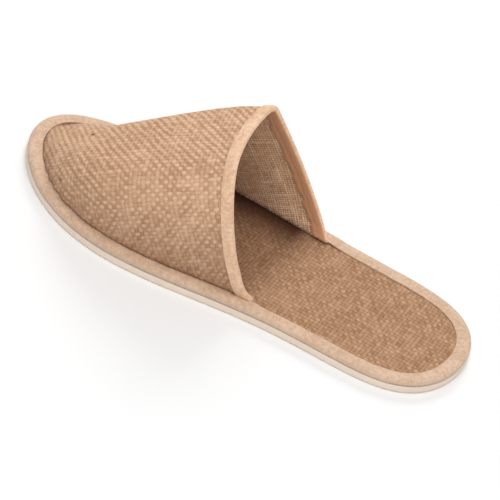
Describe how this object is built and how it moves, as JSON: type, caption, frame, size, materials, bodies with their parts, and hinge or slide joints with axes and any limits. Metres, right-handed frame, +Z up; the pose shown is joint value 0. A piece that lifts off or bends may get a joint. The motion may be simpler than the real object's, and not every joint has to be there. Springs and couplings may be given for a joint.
{
  "type": "jute slipper",
  "caption": "Flat closed-toe, open-back house slipper with a woven jute upper and insole, cloth edge bindings and a foam outsole, for the left foot.",
  "frame": {"origin": "middle of the slipper's footprint on the floor, on the underside of the outsole", "axes": "+Z up from the floor, -Y toward the toe, +Y toward the heel, +X toward the outer side of the left foot"},
  "size_m": [0.1016, 0.284, 0.0889],
  "materials": {
    "foam": "matte closed-cell foam",
    "jute_insole": "coarse woven jute",
    "tape": "matte folded cotton tape",
    "jute_upper": "coarse woven jute with a linen lining",
    "throat_tape": "matte folded cotton tape"
  },
  "bodies": {
    "root": {"outsole": "foam", "insole": "jute_insole", "edge_binding": "tape", "upper": "jute_upper", "throat_binding": "throat_tape"}
  },
  "joints": []
}
